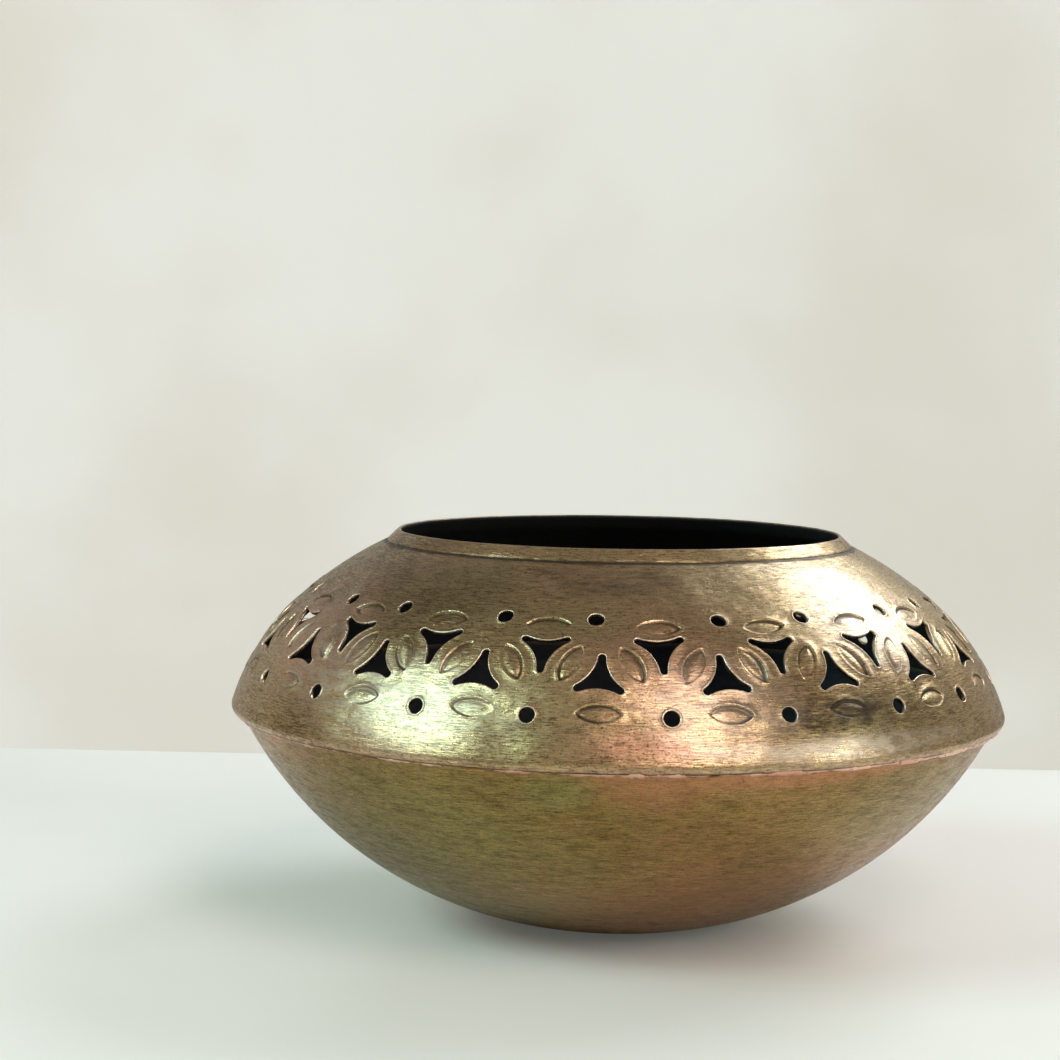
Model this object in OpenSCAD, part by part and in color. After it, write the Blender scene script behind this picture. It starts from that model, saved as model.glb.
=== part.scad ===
// Incense burner: a spun sheet-brass vessel of two shells brazed at the belly,
// with a pierced flower band on the upper shell and a loose burner dish inside.
// Millimetres, +Z up. Origin: centre of the flat base, on the surface it stands on.

/* [Vessel] */
// Diameter over the rolled edge at the belly
belly_d = 150; // [140:1:160]
// Height of the rolled edge above the base
belly_h = 41.8; // [39:0.1:44]
// Diameter of the flat base
base_d = 34; // [24:1:44]
// Radius of the curve of the lower bowl's side
bowl_curve = 75.4; // [73:0.1:82]
// Thickness of the brass sheet
sheet_t = 0.8; // [0.6:0.05:1]

/* [Upper shell] */
// Height of the mouth above the base
mouth_h = 75.8; // [74:0.1:77]
// Radius of the curve of the pierced belly
belly_curve = 43.5; // [41:0.1:46]
// Radius of the flatter curve of the shoulder
shoulder_curve = 72; // [66:1:84]
// Slope at which the belly curve flows into the shoulder curve, degrees
shoulder_slope = 48; // [45:0.5:52]
// Outer radius of the rolled edge
edge_r = 1.6; // [1.3:0.05:2]
// Lean of the belly curve where it meets the rolled edge, degrees
edge_lean = 17; // [14:0.5:20]
// How far the rolled edge turns under, degrees below level
edge_turn = 50; // [35:1:60]

/* [Mouth] */
// Width of the short collar round the mouth, along its slope
collar_w = 3.4; // [2.8:0.1:4]
// Slope of the collar above level, degrees
collar_slope = 44; // [38:1:52]

/* [Joint of the shells] */
// Height of the bowl's upright rim inside the upper shell
rim_h = 4.2; // [3:0.1:5]
// Clearance between the upright rim and the upper shell's inside
rim_gap = 0.1; // [0.05:0.05:0.2]
// Radius of the braze bead under the rolled edge
braze_r = 0.9; // [0.7:0.05:1.1]

/* [Flower band] */
// Flowers in each of the two rows
flowers = 20; // [16:2:22]
// Turn of the upper row of flowers about the axis, degrees
band_turn = -2.2; // [-9:0.1:9]
// How far neighbouring upper flowers lean towards each other in pairs, degrees
pair_lean = 1.3; // [0:0.1:1.5]
// Height of the upper round holes
upper_hole_h = 64.6; // [64:0.1:66]
// Height of the upper row of triangles
upper_tri_h = 60; // [59:0.1:60.5]
// Height of the lower row of triangles
lower_tri_h = 55.8; // [55:0.1:56.5]
// Height of the lower round holes
lower_hole_h = 49.8; // [49:0.1:51]
// Diameter of the round holes
hole_d = 2.8; // [2.2:0.1:3.2]
// Side of a pierced triangle, between the centres of its rounded tips
tri_side = 7.3; // [6.4:0.1:7.8]
// Radius of the rounded tips of a triangle
tip_r = 0.65; // [0.5:0.05:0.8]
// Radius of the petal edges that bow into a triangle
petal_curve = 7.4; // [6.6:0.1:8.6]
// Length of a stamped petal
petal_l = 8; // [7:0.1:8.6]
// Width of a stamped petal
petal_w = 3.6; // [3:0.1:4]
// Depth of a stamped petal in the sheet
petal_depth = 0.3; // [0.2:0.05:0.4]
// Height of the petals over the upper triangles
upper_petal_h = 63.6; // [63:0.1:64]
// Height of the petals beside the triangles
side_petal_h = 57.9; // [57.5:0.1:58.3]
// Slope of the petals beside the triangles, degrees
side_petal_slope = 62; // [56:1:68]
// Height of the petals under the lower triangles
lower_petal_h = 50.4; // [50:0.1:51]

/* [Burner dish] */
// Diameter of the loose dish over its rolled lip
dish_d = 60; // [50:1:70]
// Height of the dish
dish_h = 15; // [12:0.5:20]
// How far the dish's floor stays inside the edge of the flat base
dish_inset = 2; // [1:0.5:4]
// Thickness of the dish's sheet
dish_t = 1; // [0.8:0.1:1.4]
// Radius of the dish's rolled lip
dish_lip_r = 1.3; // [1.1:0.1:1.8]
// Clearance under the loose dish
dish_gap = 0.3; // [0.2:0.05:0.5]

/* [Hidden] */
$fn = 96;
brass = [0.58, 0.49, 0.32];
bowl_brass = [0.52, 0.45, 0.28];
copper_braze = [0.72, 0.47, 0.34];
burnt_brass = [0.30, 0.26, 0.21];
// Furthest that the straight pieces of a curve lie inside it
curve_tol = 0.03;
// Length past every solid
far = 300;
belly_r = belly_d / 2;
base_r = base_d / 2;
hole_pitch = 360 / flowers;

// Rolled edge: the centre of its curl, seen in the half-section [radius, height]
curl = [belly_r - edge_r, belly_h];
// Belly curve: its circle touches the curl from outside at the edge's lean
belly_c = curl - (belly_curve - edge_r) * [cos(edge_lean), sin(edge_lean)];
// Shoulder curve: its circle touches the belly circle at the shoulder slope
shoulder_c = belly_c - (shoulder_curve - belly_curve) * [cos(shoulder_slope), sin(shoulder_slope)];

// Half-chord of a circle at an offset from its centre
function half_chord(r, offset) = sqrt(r * r - offset * offset);
// Radius of the shoulder at a height
function shoulder_at(h) = shoulder_c.x + half_chord(shoulder_curve, h - shoulder_c.y);

// Collar: a short cone that rises from a crease in the shoulder to the mouth
collar_dir = [-cos(collar_slope), sin(collar_slope)];
crease_h = mouth_h - collar_w * sin(collar_slope);
crease = [shoulder_at(crease_h), crease_h];
mouth = crease + collar_w * collar_dir;

// Lower bowl: one curve from the edge of the base to the bend below the upright rim,
// whose top edge meets the inside of the belly curve
bend_h = belly_h - edge_r * sin(edge_turn);
rim_r = belly_c.x + half_chord(belly_curve - sheet_t, bend_h + rim_h - belly_c.y) - rim_gap;
function arc_centre(p, q, r) =
    let (m = (p + q) / 2, d = q - p, l = norm(d))
    m + half_chord(r, l / 2) * [-d.y, d.x] / l;
bowl_c = arc_centre([base_r, 0], [rim_r, bend_h], bowl_curve);

// Outer surface of the upper shell at a height: its radius and the slope of its normal
belly_top = belly_c.y + belly_curve * sin(shoulder_slope);
function wall_r(h) = h < belly_top ? belly_c.x + half_chord(belly_curve, h - belly_c.y) : shoulder_at(h);
function wall_slope(h) =
    h < belly_top ? asin((h - belly_c.y) / belly_curve) : asin((h - shoulder_c.y) / shoulder_curve);

// Points along an arc [centre, radius, from, to] after its first one, brought inwards by an inset
function arc_tail(arc, inset) =
    let (turn = arc[3] - arc[2], n = ceil(abs(turn) / (2 * acos(1 - curve_tol / arc[1]))), step = turn / n)
    [for (i = [1:n]) arc[0] + (arc[1] - inset) * [cos(arc[2] + step * i), sin(arc[2] + step * i)]];
// Points along arcs that flow into one another
function arcs_path(arcs, inset) =
    let (a = arcs[0])
    [a[0] + (a[1] - inset) * [cos(a[2]), sin(a[2])], for (arc = arcs) each arc_tail(arc, inset)];
function reversed(points) = [for (i = [len(points) - 1:-1:0]) points[i]];

// Curves of the upper shell's outside, from the turned-under edge up to the crease
shell_arcs = [
    [curl, edge_r, -edge_turn, edge_lean],
    [belly_c, belly_curve, edge_lean, shoulder_slope],
    [shoulder_c, shoulder_curve, shoulder_slope, atan2(crease.y - shoulder_c.y, crease.x - shoulder_c.x)]
];
// Curve of the lower bowl's outside, from the base up to the bend
bowl_arcs = [
    [bowl_c, bowl_curve, atan2(-bowl_c.y, base_r - bowl_c.x), atan2(bend_h - bowl_c.y, rim_r - bowl_c.x)]
];

// Half-section of the upper shell: rolled edge, belly, shoulder and the collar with its round lip
module shell_section() {
    lip_c = mouth - sheet_t / 2 * (collar_dir - [-collar_dir.y, collar_dir.x]);
    lip_arc = [lip_c, sheet_t / 2, 90 - collar_slope, 270 - collar_slope];
    polygon(concat(arcs_path(shell_arcs, 0), arcs_path([lip_arc], 0),
        reversed(arcs_path(shell_arcs, sheet_t))));
}

// Half-section of the lower bowl: flat base, curved side and upright rim
module bowl_section() {
    rim_top = bend_h + rim_h;
    polygon(concat([[0, 0]], arcs_path(bowl_arcs, 0), [[rim_r, rim_top], [rim_r - sheet_t, rim_top]],
        reversed(arcs_path(bowl_arcs, sheet_t)), [[0, sheet_t]]));
}

// Everything that stands on the outer surface of the upper shell
module on_wall(turn, h) {
    rotate([0, 0, turn - 90]) translate([wall_r(h), 0, h]) rotate([0, 90 - wall_slope(h), 0])
        rotate([0, 0, 90]) children();
}

// Triangle with petal-shaped sides and round tips, one tip towards +Y
module petal_triangle() {
    reach = tri_side / sqrt(3);
    bow = half_chord(petal_curve + tip_r, tri_side / 2) + reach / 2;
    to_bow = atan2(bow / 2 - reach, -bow * cos(30));
    outline = arcs_path([for (i = [0:2]) let (turn = 120 * i) each [
        [reach * [cos(90 + turn), sin(90 + turn)], tip_r, 180 - to_bow + turn, to_bow + turn],
        [bow * [cos(150 + turn), sin(150 + turn)], petal_curve, to_bow - 180 + turn, 120 - to_bow + turn]
    ]], 0);
    polygon([for (i = [1:len(outline) - 1]) outline[i]]);
}

// Turns of an upper and a lower flower, which lean towards each other in pairs
function lean(i) = i % 2 == 0 ? pair_lean : -pair_lean;
function upper_turn(i) = band_turn + hole_pitch * i - lean(i);
function lower_turn(i) = band_turn + hole_pitch * (i + 0.5) + lean(i) / 2;

// Pointed petal, its tips along X, stamped into the wall
module stamped_petal() {
    bow = (petal_l * petal_l + petal_w * petal_w) / (4 * petal_w);
    half_turn = asin(petal_l / 2 / bow);
    side = [0, bow - petal_w / 2];
    translate([0, 0, -petal_depth]) linear_extrude(2 * sheet_t) polygon(arcs_path([
        [-side, bow, 90 - half_turn, 90 + half_turn],
        [side, bow, 270 - half_turn, 270 + half_turn]
    ], 0));
}

module stamped_petals() {
    for (i = [0:flowers - 1]) {
        here = band_turn + hole_pitch * i;
        on_wall(here + hole_pitch / 2, upper_petal_h) stamped_petal();
        on_wall(here, lower_petal_h) stamped_petal();
        for (side = [-1, 1])
            on_wall(here + side * hole_pitch / 4, side_petal_h)
                rotate([0, 0, -side * side_petal_slope]) stamped_petal();
    }
}

module pierced_band() {
    depth = 4 * sheet_t;
    for (i = [0:flowers - 1]) {
        on_wall(upper_turn(i), upper_hole_h) cylinder(d = hole_d, h = depth, center = true);
        on_wall(band_turn + hole_pitch * (i + 0.5), upper_tri_h)
            rotate([0, 0, 180]) linear_extrude(depth, center = true) petal_triangle();
        on_wall(band_turn + hole_pitch * i, lower_tri_h)
            linear_extrude(depth, center = true) petal_triangle();
        on_wall(lower_turn(i), lower_hole_h)
            cylinder(d = hole_d, h = depth, center = true);
    }
}

module lower_bowl() {
    color(bowl_brass) rotate_extrude() bowl_section();
}

module upper_shell() {
    color(brass) difference() {
        rotate_extrude() shell_section();
        pierced_band();
        stamped_petals();
    }
}

// Bead of braze metal in the corner between the bowl and the rolled edge
module braze_seam() {
    edge_end = curl + (edge_r - sheet_t) * [cos(edge_turn), -sin(edge_turn)];
    bead = [(rim_r + edge_end.x) / 2, edge_end.y - sheet_t / 2];
    color(copper_braze) rotate_extrude() difference() {
        polygon(arcs_path([[bead, braze_r, 0, 360]], 0));
        bowl_section();
        shell_section();
        translate([0, bend_h - far]) square([rim_r - sheet_t / 2, 2 * far]);
    }
}

// Loose dish for charcoal, cones or resin, lifted out through the mouth
module burner_dish() {
    lip_c = [dish_d / 2 - dish_lip_r, dish_h - dish_lip_r];
    foot = [base_r - dish_inset, 0];
    side = (lip_c - foot) / norm(lip_c - foot);
    wall = dish_t * [-side.y, side.x];
    color(burnt_brass) translate([0, 0, sheet_t + dish_gap]) rotate_extrude() {
        square([foot.x, dish_t]);
        polygon([foot, lip_c, lip_c + wall, foot + wall]);
        translate(lip_c) circle(dish_lip_r);
    }
}

lower_bowl();
upper_shell();
braze_seam();
burner_dish();
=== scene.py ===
"""Looks of a pierced brass incense burner: two brazed shells, a braze seam and a loose burner dish.

Each piece takes the place of a plain solid of the same size. The shells are sheet brass with
punched and stamped flowers, blackened inside, and they stand on a pale studio floor.
"""

import logging
import math
import random
from dataclasses import dataclass
from enum import Enum
from typing import Callable, Iterator, Sequence

import bmesh
import bpy
from mathutils import Matrix, Vector, noise
from mathutils.geometry import delaunay_2d_cdt


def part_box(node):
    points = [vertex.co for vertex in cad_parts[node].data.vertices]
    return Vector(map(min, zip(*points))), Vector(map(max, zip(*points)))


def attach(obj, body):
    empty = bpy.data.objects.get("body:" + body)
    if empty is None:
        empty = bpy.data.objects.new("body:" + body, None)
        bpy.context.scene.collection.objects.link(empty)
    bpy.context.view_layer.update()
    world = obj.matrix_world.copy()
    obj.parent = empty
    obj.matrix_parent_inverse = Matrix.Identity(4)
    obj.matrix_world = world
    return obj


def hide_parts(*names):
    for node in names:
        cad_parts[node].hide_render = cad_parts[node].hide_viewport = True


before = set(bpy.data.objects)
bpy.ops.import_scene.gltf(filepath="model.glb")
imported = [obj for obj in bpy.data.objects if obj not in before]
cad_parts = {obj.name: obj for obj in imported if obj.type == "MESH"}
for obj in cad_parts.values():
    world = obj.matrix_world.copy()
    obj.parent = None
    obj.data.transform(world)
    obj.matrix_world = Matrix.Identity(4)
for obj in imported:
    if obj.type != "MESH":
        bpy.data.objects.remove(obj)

MM = 0.001
LOG = logging.getLogger("incense_burner")
Colour = tuple[float, float, float]
BLACK = (0.0, 0.0, 0.0)
NEARLY_LEVEL = 0.999
HALVINGS = 40
FLAT_GAP = 1e-9


# ---- Node trees ----


def operation(name: str, turned: bool = False) -> Callable[["Value", "Value | float"], "Value"]:
    """Makes an operator of Value that adds a Math node.

    Args:
        name: The node's operation.
        turned: Whether the other value comes first.

    Returns:
        The operator.
    """

    def operate(value: "Value", other: "Value | float") -> "Value":
        """Adds the node."""
        pair = (other, value) if turned else (value, other)
        return value.graph.value("ShaderNodeMath", {"operation": name}, dict(enumerate(pair)))

    return operate


class Value:
    """A number socket that adds Math nodes when it is used in an expression."""

    def __init__(self, graph: "Graph", socket: bpy.types.NodeSocket) -> None:
        """Wraps a socket.

        Args:
            graph: The graph that the socket's node belongs to.
            socket: The output socket.
        """
        self.graph = graph
        self.socket = socket

    __add__ = __radd__ = operation("ADD")
    __mul__ = __rmul__ = operation("MULTIPLY")
    __sub__, __rsub__ = operation("SUBTRACT"), operation("SUBTRACT", turned=True)
    __pow__ = operation("POWER")

    def clamped(self) -> "Value":
        """The value kept between 0 and 1."""
        return self.graph.value("ShaderNodeClamp", {}, {"Value": self}, "Result")

    def band(self, low: float, high: float) -> "Value":
        """Smooth step from 0 at low to 1 at high.

        Args:
            low: Where the step starts.
            high: Where the step ends.

        Returns:
            The stepped value.
        """
        return self.graph.value(
            "ShaderNodeMapRange",
            {"interpolation_type": "SMOOTHSTEP"},
            {"Value": self, "From Min": low, "From Max": high},
            "Result",
        )


class Graph:
    """The node tree of one material."""

    def __init__(self, name: str) -> None:
        """Starts an empty material.

        Args:
            name: The material's name.
        """
        self.material = bpy.data.materials.new(name)
        self.material.use_nodes = True
        self.tree = self.material.node_tree
        self.tree.nodes.clear()

    def node(self, kind: str, settings: dict, inputs: dict) -> bpy.types.Node:
        """Adds a node.

        Args:
            kind: The node's type.
            settings: Values of its own properties, set first; "ramp" holds a colour ramp's stops.
            inputs: A value, colour or link for each socket, by name or place.

        Returns:
            The node.
        """
        made = self.tree.nodes.new(kind)
        for key, setting in settings.items():
            if key == "ramp":
                self.set_ramp(made.color_ramp, setting)
            else:
                setattr(made, key, setting)
        for key, given in inputs.items():
            socket = made.inputs[key]
            if isinstance(given, Value):
                self.tree.links.new(given.socket, socket)
            elif isinstance(given, bpy.types.NodeSocket):
                self.tree.links.new(given, socket)
            elif isinstance(given, tuple) and socket.type == "RGBA" and len(given) == 3:
                socket.default_value = (*given, 1.0)
            else:
                socket.default_value = given
        return made

    @staticmethod
    def set_ramp(ramp: bpy.types.ColorRamp, stops: Sequence[tuple[float, tuple]]) -> None:
        """Gives a colour ramp its stops.

        Args:
            ramp: The ramp.
            stops: The place and colour of each.
        """
        while len(ramp.elements) < len(stops):
            ramp.elements.new(1.0)
        for element, (place, colour) in zip(ramp.elements, stops):
            element.position = place
            element.color = (*colour, 1.0)

    def value(self, kind: str, settings: dict, inputs: dict, output: str | int = 0) -> Value:
        """Adds a node and wraps one of its outputs.

        Args:
            kind: The node's type.
            settings: As in node.
            inputs: As in node.
            output: The output's name or place.

        Returns:
            The wrapped output.
        """
        return Value(self, self.node(kind, settings, inputs).outputs[output])

    def mix(self, factor: "Value | float", a: object, b: object) -> bpy.types.NodeSocket:
        """Mixes two colours.

        Args:
            factor: 0 gives a and 1 gives b.
            a: A colour or a colour socket.
            b: A colour or a colour socket.

        Returns:
            The mixed colour's socket.
        """
        made = self.node("ShaderNodeMix", {"data_type": "RGBA"}, {0: factor, 6: a, 7: b})
        return made.outputs[2]

    def attribute(self, mark: "Mark") -> Value:
        """A number that the mesh holds for each vertex."""
        return self.value("ShaderNodeAttribute", {"attribute_name": mark.value}, {}, "Fac")

    def place(self) -> bpy.types.NodeSocket:
        """The place on the object, in metres."""
        return self.node("ShaderNodeTexCoord", {}, {}).outputs["Object"]

    def bump(self, distance: float, height: Value,
             over: bpy.types.NodeSocket | None = None) -> bpy.types.NodeSocket:
        """Relief in the shading.

        Args:
            distance: How far a height of 1 stands out, in metres.
            height: The relief.
            over: Coarser relief that this one lies on.

        Returns:
            The normal.
        """
        inputs = {"Strength": 1.0, "Distance": distance, "Height": height}
        if over:
            inputs["Normal"] = over
        return self.node("ShaderNodeBump", {}, inputs).outputs[0]

    def noise(self, where: bpy.types.NodeSocket, scale: float, detail: float = 3.0,
              roughness: float = 0.55) -> Value:
        """Noise between 0 and 1.

        Args:
            where: The vector to read it at.
            scale: Waves for each metre.
            detail: Octaves.
            roughness: Share of each finer octave.

        Returns:
            The noise.
        """
        inputs = {"Vector": where, "Scale": scale, "Detail": detail, "Roughness": roughness}
        return self.value("ShaderNodeTexNoise", {}, inputs)

    def surface(self, **inputs: object) -> bpy.types.Material:
        """Ends the graph with a Principled shader.

        Args:
            **inputs: The shader's sockets, with _ for each space.

        Returns:
            The material.
        """
        named = {key.replace("_", " "): given for key, given in inputs.items()}
        shader = self.node("ShaderNodeBsdfPrincipled", {}, named)
        self.node("ShaderNodeOutputMaterial", {}, {"Surface": shader.outputs[0]})
        return self.material


def linear(*channels: int) -> Colour:
    """A screen colour, 0 to 255 a channel, as the linear colour that a shader takes."""
    shares = (channel / 255 for channel in channels)
    return tuple(c / 12.92 if c <= 0.04045 else ((c + 0.055) / 1.055) ** 2.4 for c in shares)


# ---- Finishes ----


class Slant(Enum):
    """How a shell's slope turns height and radius into the way across its brush lines."""

    CLOSING = -0.7
    OPENING = 0.7


@dataclass(frozen=True)
class BrassFinish:
    """Antiqued sheet brass, scratch-brushed round the axis, with dark paint inside."""

    name: str
    slant: Slant
    bright: Colour = linear(214, 184, 134)
    tarnished: Colour = linear(108, 80, 48)
    copper: Colour = linear(212, 158, 130)
    green: Colour = linear(172, 172, 120)
    paint: Colour = linear(11, 12, 13)
    # Pale rubbed brass, also used for painted highlights.
    worn: Colour = linear(248, 232, 212)
    # Dark grime for flecks, also used for painted shade.
    dirt_and_shade: Colour = linear(46, 37, 30)
    roughness: float = 0.24
    coat: float = 0.15
    stroke_depth: float = 0.034 * MM
    mottle_depth: float = 0.085 * MM
    dent_depth: float = 0.45 * MM
    stroke_contrast: float = 0.84
    cloud_contrast: float = 0.30
    fleck: float = 0.7

    def brush_space(self, graph: Graph, along: float) -> bpy.types.NodeSocket:
        """Makes the position drawn out along the brush lines.

        Args:
            graph: The material's graph.
            along: Share of the waves that is left along a line.

        Returns:
            The drawn-out position.
        """
        place = graph.place()
        parts = graph.node("ShaderNodeSeparateXYZ", {}, {0: place}).outputs
        x, y, z = (Value(graph, part) for part in parts)
        radius = (x * x + y * y) ** 0.5
        across = z + radius * self.slant.value
        stretched = graph.node(
            "ShaderNodeCombineXYZ", {}, {"X": x * along, "Y": y * along, "Z": across}
        )
        return stretched.outputs[0]

    def material(self) -> bpy.types.Material:
        """Builds the finish.

        Returns:
            The material.
        """
        graph = Graph(self.name)
        place = graph.place()
        long_lines = self.brush_space(graph, along=0.07)
        short_lines = self.brush_space(graph, along=0.17)
        patches = self.brush_space(graph, along=0.4)
        hair = graph.noise(long_lines, 3900, 3, 0.6)
        stroke = graph.noise(short_lines, 4300, 3, 0.55)
        cloud = graph.noise(place, 36, 4, 0.55)
        hue = graph.noise(place, 24, 3, 0.5)
        mottle = graph.noise(patches, 560, 4, 0.62)
        fine = graph.noise(place, 2900, 2, 0.5)
        dents = graph.noise(place, 95, 3, 0.5)

        inside = graph.attribute(Mark.INSIDE)
        # This mark paints highlights as well as rubbed wear: where it is set the brass is whitened.
        worn = graph.attribute(Mark.WORN) * (0.45 + mottle.band(0.38, 0.58) * 0.55)
        sunk = graph.attribute(Mark.SUNK)
        copper = graph.attribute(Mark.COPPER)
        green = graph.attribute(Mark.GREEN)

        grain = stroke.band(0.38, 0.64) * 0.46 + hair.band(0.38, 0.62) * 0.40 \
            + fine.band(0.42, 0.62) * 0.14
        tarnish = (cloud.band(0.38, 0.68) * self.cloud_contrast + mottle.band(0.40, 0.66) * 0.22
                   + grain * self.stroke_contrast)
        flush = (copper * 1.1 + mottle * 0.5 - 0.38).band(0.0, 0.8) + hue.band(0.50, 0.70) * 0.55
        olive = (green + mottle * 0.4 - 0.35).band(0.0, 0.9) + (0.49 - hue).band(0.0, 0.2) * 0.6
        colour = graph.mix(flush.clamped() * 0.9, self.bright, self.copper)
        colour = graph.mix(olive.clamped() * 0.8, colour, self.green)
        colour = graph.mix((tarnish * (1 - flush * 0.35)).clamped(), colour, self.tarnished)
        speck = fine.band(0.55, 0.66) * stroke.band(0.35, 0.6)
        colour = graph.mix(speck * self.fleck, colour, self.dirt_and_shade)
        # Painted shade with dark tarnish: darkens the brass by this mark, under the rolled edge,
        # between the shells and along the crease.
        shade_and_tarnish_share = (sunk * 1.3 + mottle * 0.9 - 0.62).band(0.0, 0.55)
        colour = graph.mix(shade_and_tarnish_share * 0.85, colour, self.dirt_and_shade)
        # Painted highlight and rubbed wear: whitens the brass by the mark.
        colour = graph.mix(worn.clamped(), colour, self.worn)
        colour = graph.mix(inside.clamped(), colour, self.paint)

        rough = (self.roughness + grain * 0.12 + mottle.band(0.4, 0.7) * 0.12 + shade_and_tarnish_share * 0.15
                 - worn * 0.04)
        relief = graph.bump(self.mottle_depth, mottle, graph.bump(self.dent_depth, dents))
        relief = graph.bump(self.stroke_depth, hair + stroke + fine * 0.6, relief)
        return graph.surface(
            Base_Color=colour,
            Metallic=1 - inside,
            Coat_Weight=(1 - inside) * self.coat,
            Coat_Roughness=0.16,
            Roughness=(rough + inside * 0.55).clamped(),
            Normal=relief,
        )


class Texture(Enum):
    """The two noises of a raw metal."""

    CLOUDS = 0
    GRAINS = 1


@dataclass(frozen=True)
class RawMetal:
    """Unpolished metal with an uneven skin. Each noise is its scale, detail and roughness.

    Attributes:
        clouds: The noise that turns the colour from light to deep, between its edges.
        grains: The noise of the skin and of the grit that it holds, between its edges.
        grit_share: How much of the grit's colour shows.
        skin_depth: Height of the uneven skin, in metres.
        roughness: Where the skin is smoothest.
        roughened_by: The noise that adds to the roughness.
    """

    name: str
    light: Colour
    deep: Colour
    grit: Colour
    clouds: tuple[float, float, float]
    cloud_edges: tuple[float, float]
    grains: tuple[float, float, float]
    grit_edges: tuple[float, float]
    grit_share: float
    skin_depth: float
    metallic: float
    roughness: float
    roughened_by: Texture

    def material(self) -> bpy.types.Material:
        """Builds the finish.

        Returns:
            The material.
        """
        graph = Graph(self.name)
        noises = [graph.noise(graph.place(), *wave) for wave in (self.clouds, self.grains)]
        cloud, grains = noises
        colour = graph.mix(cloud.band(*self.cloud_edges), self.light, self.deep)
        grit = grains.band(*self.grit_edges) * self.grit_share
        return graph.surface(
            Base_Color=graph.mix(grit, colour, self.grit),
            Metallic=self.metallic,
            Roughness=self.roughness + noises[self.roughened_by.value] * 0.2,
            Normal=graph.bump(self.skin_depth, grains),
        )


@dataclass(frozen=True)
class StageFinish:
    """Pale stone or plaster with faint clouds."""

    name: str
    pale: Colour
    cloud: Colour
    scale: float
    roughness: float
    haze: Colour = BLACK

    def material(self) -> bpy.types.Material:
        """Builds the finish.

        Returns:
            The material.
        """
        graph = Graph(self.name)
        place = graph.place()
        cloud = graph.noise(place, self.scale, 4, 0.5)
        colour = graph.mix(cloud.band(0.35, 0.70), self.pale, self.cloud)
        seen = Value(graph, graph.node("ShaderNodeLightPath", {}, {}).outputs["Is Camera Ray"])
        haze = graph.mix(seen, BLACK, self.haze)
        return graph.surface(
            Base_Color=colour, Roughness=self.roughness, Emission_Color=haze, Emission_Strength=1.0
        )


# ---- Curves of the vessel ----


@dataclass(frozen=True)
class Arc:
    """One arc of a half-section, in millimetres: x is the radius from the axis and y the height."""

    centre: Vector
    radius: float
    start: float
    end: float

    def point(self, angle: float) -> Vector:
        """The point of the arc at an angle in degrees."""
        turn = math.radians(angle)
        return self.centre + self.radius * Vector((math.cos(turn), math.sin(turn)))

    @property
    def length(self) -> float:
        """Its length."""
        return self.radius * math.radians(abs(self.end - self.start))


@dataclass
class Curve:
    """Arcs that flow into one another, measured by the way along them."""

    arcs: list[Arc]

    def at(self, way: float) -> tuple[Vector, Vector]:
        """Where the curve is.

        Args:
            way: The distance along it from its start.

        Returns:
            The point, and the outward normal there.
        """
        left = way
        for arc in self.arcs:
            if left <= arc.length or arc is self.arcs[-1]:
                angle = arc.start + (arc.end - arc.start) * left / arc.length
                turn = math.radians(angle)
                return arc.point(angle), Vector((math.cos(turn), math.sin(turn)))
            left -= arc.length
        raise ValueError("the curve has no arcs")

    def way_of(self, point: Vector) -> float:
        """Finds the place on the curve that is nearest to a point.

        Args:
            point: The point.

        Returns:
            The distance along the curve to that place.
        """
        gone = 0.0
        for arc in self.arcs:
            off = point - arc.centre
            angle = math.degrees(math.atan2(off.y, off.x))
            if angle <= arc.end or arc is self.arcs[-1]:
                return gone + arc.length * (angle - arc.start) / (arc.end - arc.start)
            gone += arc.length
        raise ValueError("the curve has no arcs")

    def way_to_height(self, height: float) -> float:
        """Finds the first point of the curve at a height.

        Args:
            height: The height in millimetres.

        Returns:
            The distance along the curve to that point.
        """
        low, high = 0.0, sum(arc.length for arc in self.arcs)
        for _ in range(HALVINGS):
            middle = (low + high) / 2
            if self.at(middle)[0].y < height:
                low = middle
            else:
                high = middle
        return low


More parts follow.
